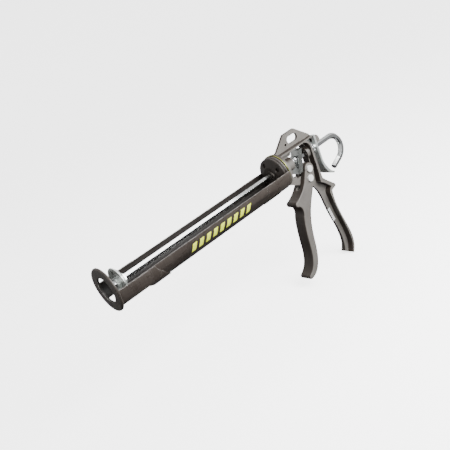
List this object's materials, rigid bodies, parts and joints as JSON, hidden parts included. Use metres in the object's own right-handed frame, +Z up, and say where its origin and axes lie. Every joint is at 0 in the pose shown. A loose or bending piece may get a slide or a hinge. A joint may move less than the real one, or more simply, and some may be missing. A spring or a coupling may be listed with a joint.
{
  "type": "caulking gun",
  "caption": "Cradle caulking gun: hexagon push rod with pull hook and plunger cup, turning half-round cradle, squeeze trigger on a cast frame, thumb release lever.",
  "frame": {"origin": "centre of the nozzle hole, on the front face of the front flange", "axes": "+X forward along the push rod and out of the nozzle hole, +Z up, +Y to the gun's left"},
  "size_m": [0.4511, 0.0594, 0.228],
  "materials": {
    "dark_sheet": "satin dark brown-black powder coat on sheet steel",
    "dark_casting": "satin dark brown-black powder coat on die-cast aluminium",
    "black_plastic": "matte moulded plastic",
    "bright_rod": "bright plated drawn hexagon steel",
    "zinc": "bright zinc plate",
    "yellow_zinc": "yellow passivated zinc plate",
    "spring_steel": "zinc plated spring wire",
    "label": "plain white printed film with grey bars"
  },
  "bodies": {
    "frame": {"frame": "dark_casting", "handle_label": "label", "spindle": "zinc", "swivel_washer": "yellow_zinc", "trigger_pivot_pin": "zinc", "drive_spring": "spring_steel", "release_spring": "spring_steel"},
    "barrel": {"cradle": "dark_sheet", "front_yoke": "dark_sheet", "front_flange": "dark_sheet", "cradle_end_plate": "dark_sheet", "collar": "black_plastic", "collar_screws": "zinc"},
    "push_rod": {"push_rod": "bright_rod", "plunger_cup": "zinc", "plunger_washer": "zinc", "plunger_front_nut": "zinc", "plunger_rear_nut": "zinc"},
    "trigger": {"trigger": "dark_casting", "drive_pin": "zinc"},
    "drive_plates": {"drive_plate_front": "zinc", "drive_plate_rear": "zinc"},
    "release_lever": {"release_lever": "zinc"}
  },
  "joints": [
    {"name": "barrel_turn", "type": "hinge", "parent": "frame", "child": "barrel", "pos_m": [-0.3, 0, 0], "axis": [1, 0, 0], "continuous": true},
    {"name": "rod_slide", "type": "slide", "parent": "frame", "child": "push_rod", "axis": [-1, 0, 0], "range_m": [0, 0.26]},
    {"name": "trigger_squeeze", "type": "hinge", "parent": "frame", "child": "trigger", "pos_m": [-0.3532, 0, -0.0333], "axis": [0, 1, 0], "range_deg": [0, 25], "stiffness_Nm_per_rad": 0.6, "springref_deg": -20.05},
    {"name": "drive_plate_slide", "type": "slide", "parent": "frame", "child": "drive_plates", "axis": [1, 0, 0], "range_m": [0, 0.006], "deforming": ["drive_spring"]},
    {"name": "release_press", "type": "hinge", "parent": "frame", "child": "release_lever", "pos_m": [-0.3916, 0, 0.0145], "axis": [0, -1, 0], "range_deg": [0, 6], "stiffness_Nm_per_rad": 1.2, "springref_deg": -11.46, "deforming": ["release_spring"]}
  ],
  "couplings": [
    {"joint": "drive_plate_slide", "follows": "trigger_squeeze", "m_per_rad": 0.01348}
  ]
}
